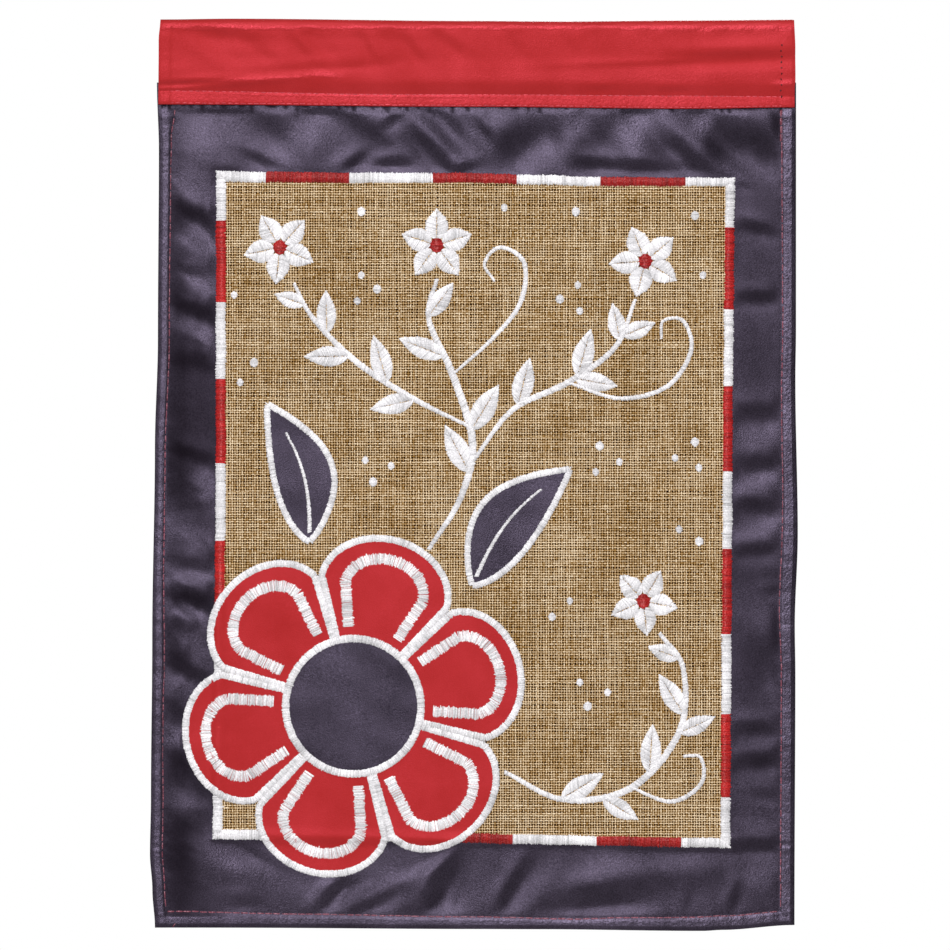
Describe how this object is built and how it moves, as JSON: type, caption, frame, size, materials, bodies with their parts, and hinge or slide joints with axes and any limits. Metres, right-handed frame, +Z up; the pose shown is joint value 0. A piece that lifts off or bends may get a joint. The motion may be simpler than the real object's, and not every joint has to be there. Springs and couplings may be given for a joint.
{
  "type": "garden flag",
  "caption": "Hanging garden flag: satin field with hems and a rod pocket along the top, a burlap panel and an applique flower on its front.",
  "frame": {"origin": "middle of the sleeve's top edge, where a rod in the pocket carries the flag", "axes": "+Z up, the front faces -Y, +X to the right seen from the front"},
  "size_m": [0.3261, 0.0089, 0.4593],
  "materials": {
    "navy_satin": "soft satin sheen, puckered at the margins",
    "red_satin": "soft satin sheen",
    "burlap": "open plain weave, matt",
    "red_applique": "soft satin sheen",
    "navy_applique": "soft satin sheen",
    "white_thread": "glossy embroidery thread",
    "red_thread": "glossy embroidery thread",
    "topstitch_thread": "sewing thread"
  },
  "bodies": {
    "root": {"field": "navy_satin", "sleeve": "red_satin", "burlap_panel": "burlap", "petal_1": "red_applique", "petal_2": "red_applique", "petal_3": "red_applique", "petal_4": "red_applique", "petal_5": "red_applique", "petal_6": "red_applique", "flower_centre": "navy_applique", "leaf_1": "navy_applique", "leaf_2": "navy_applique"}
  },
  "joints": []
}
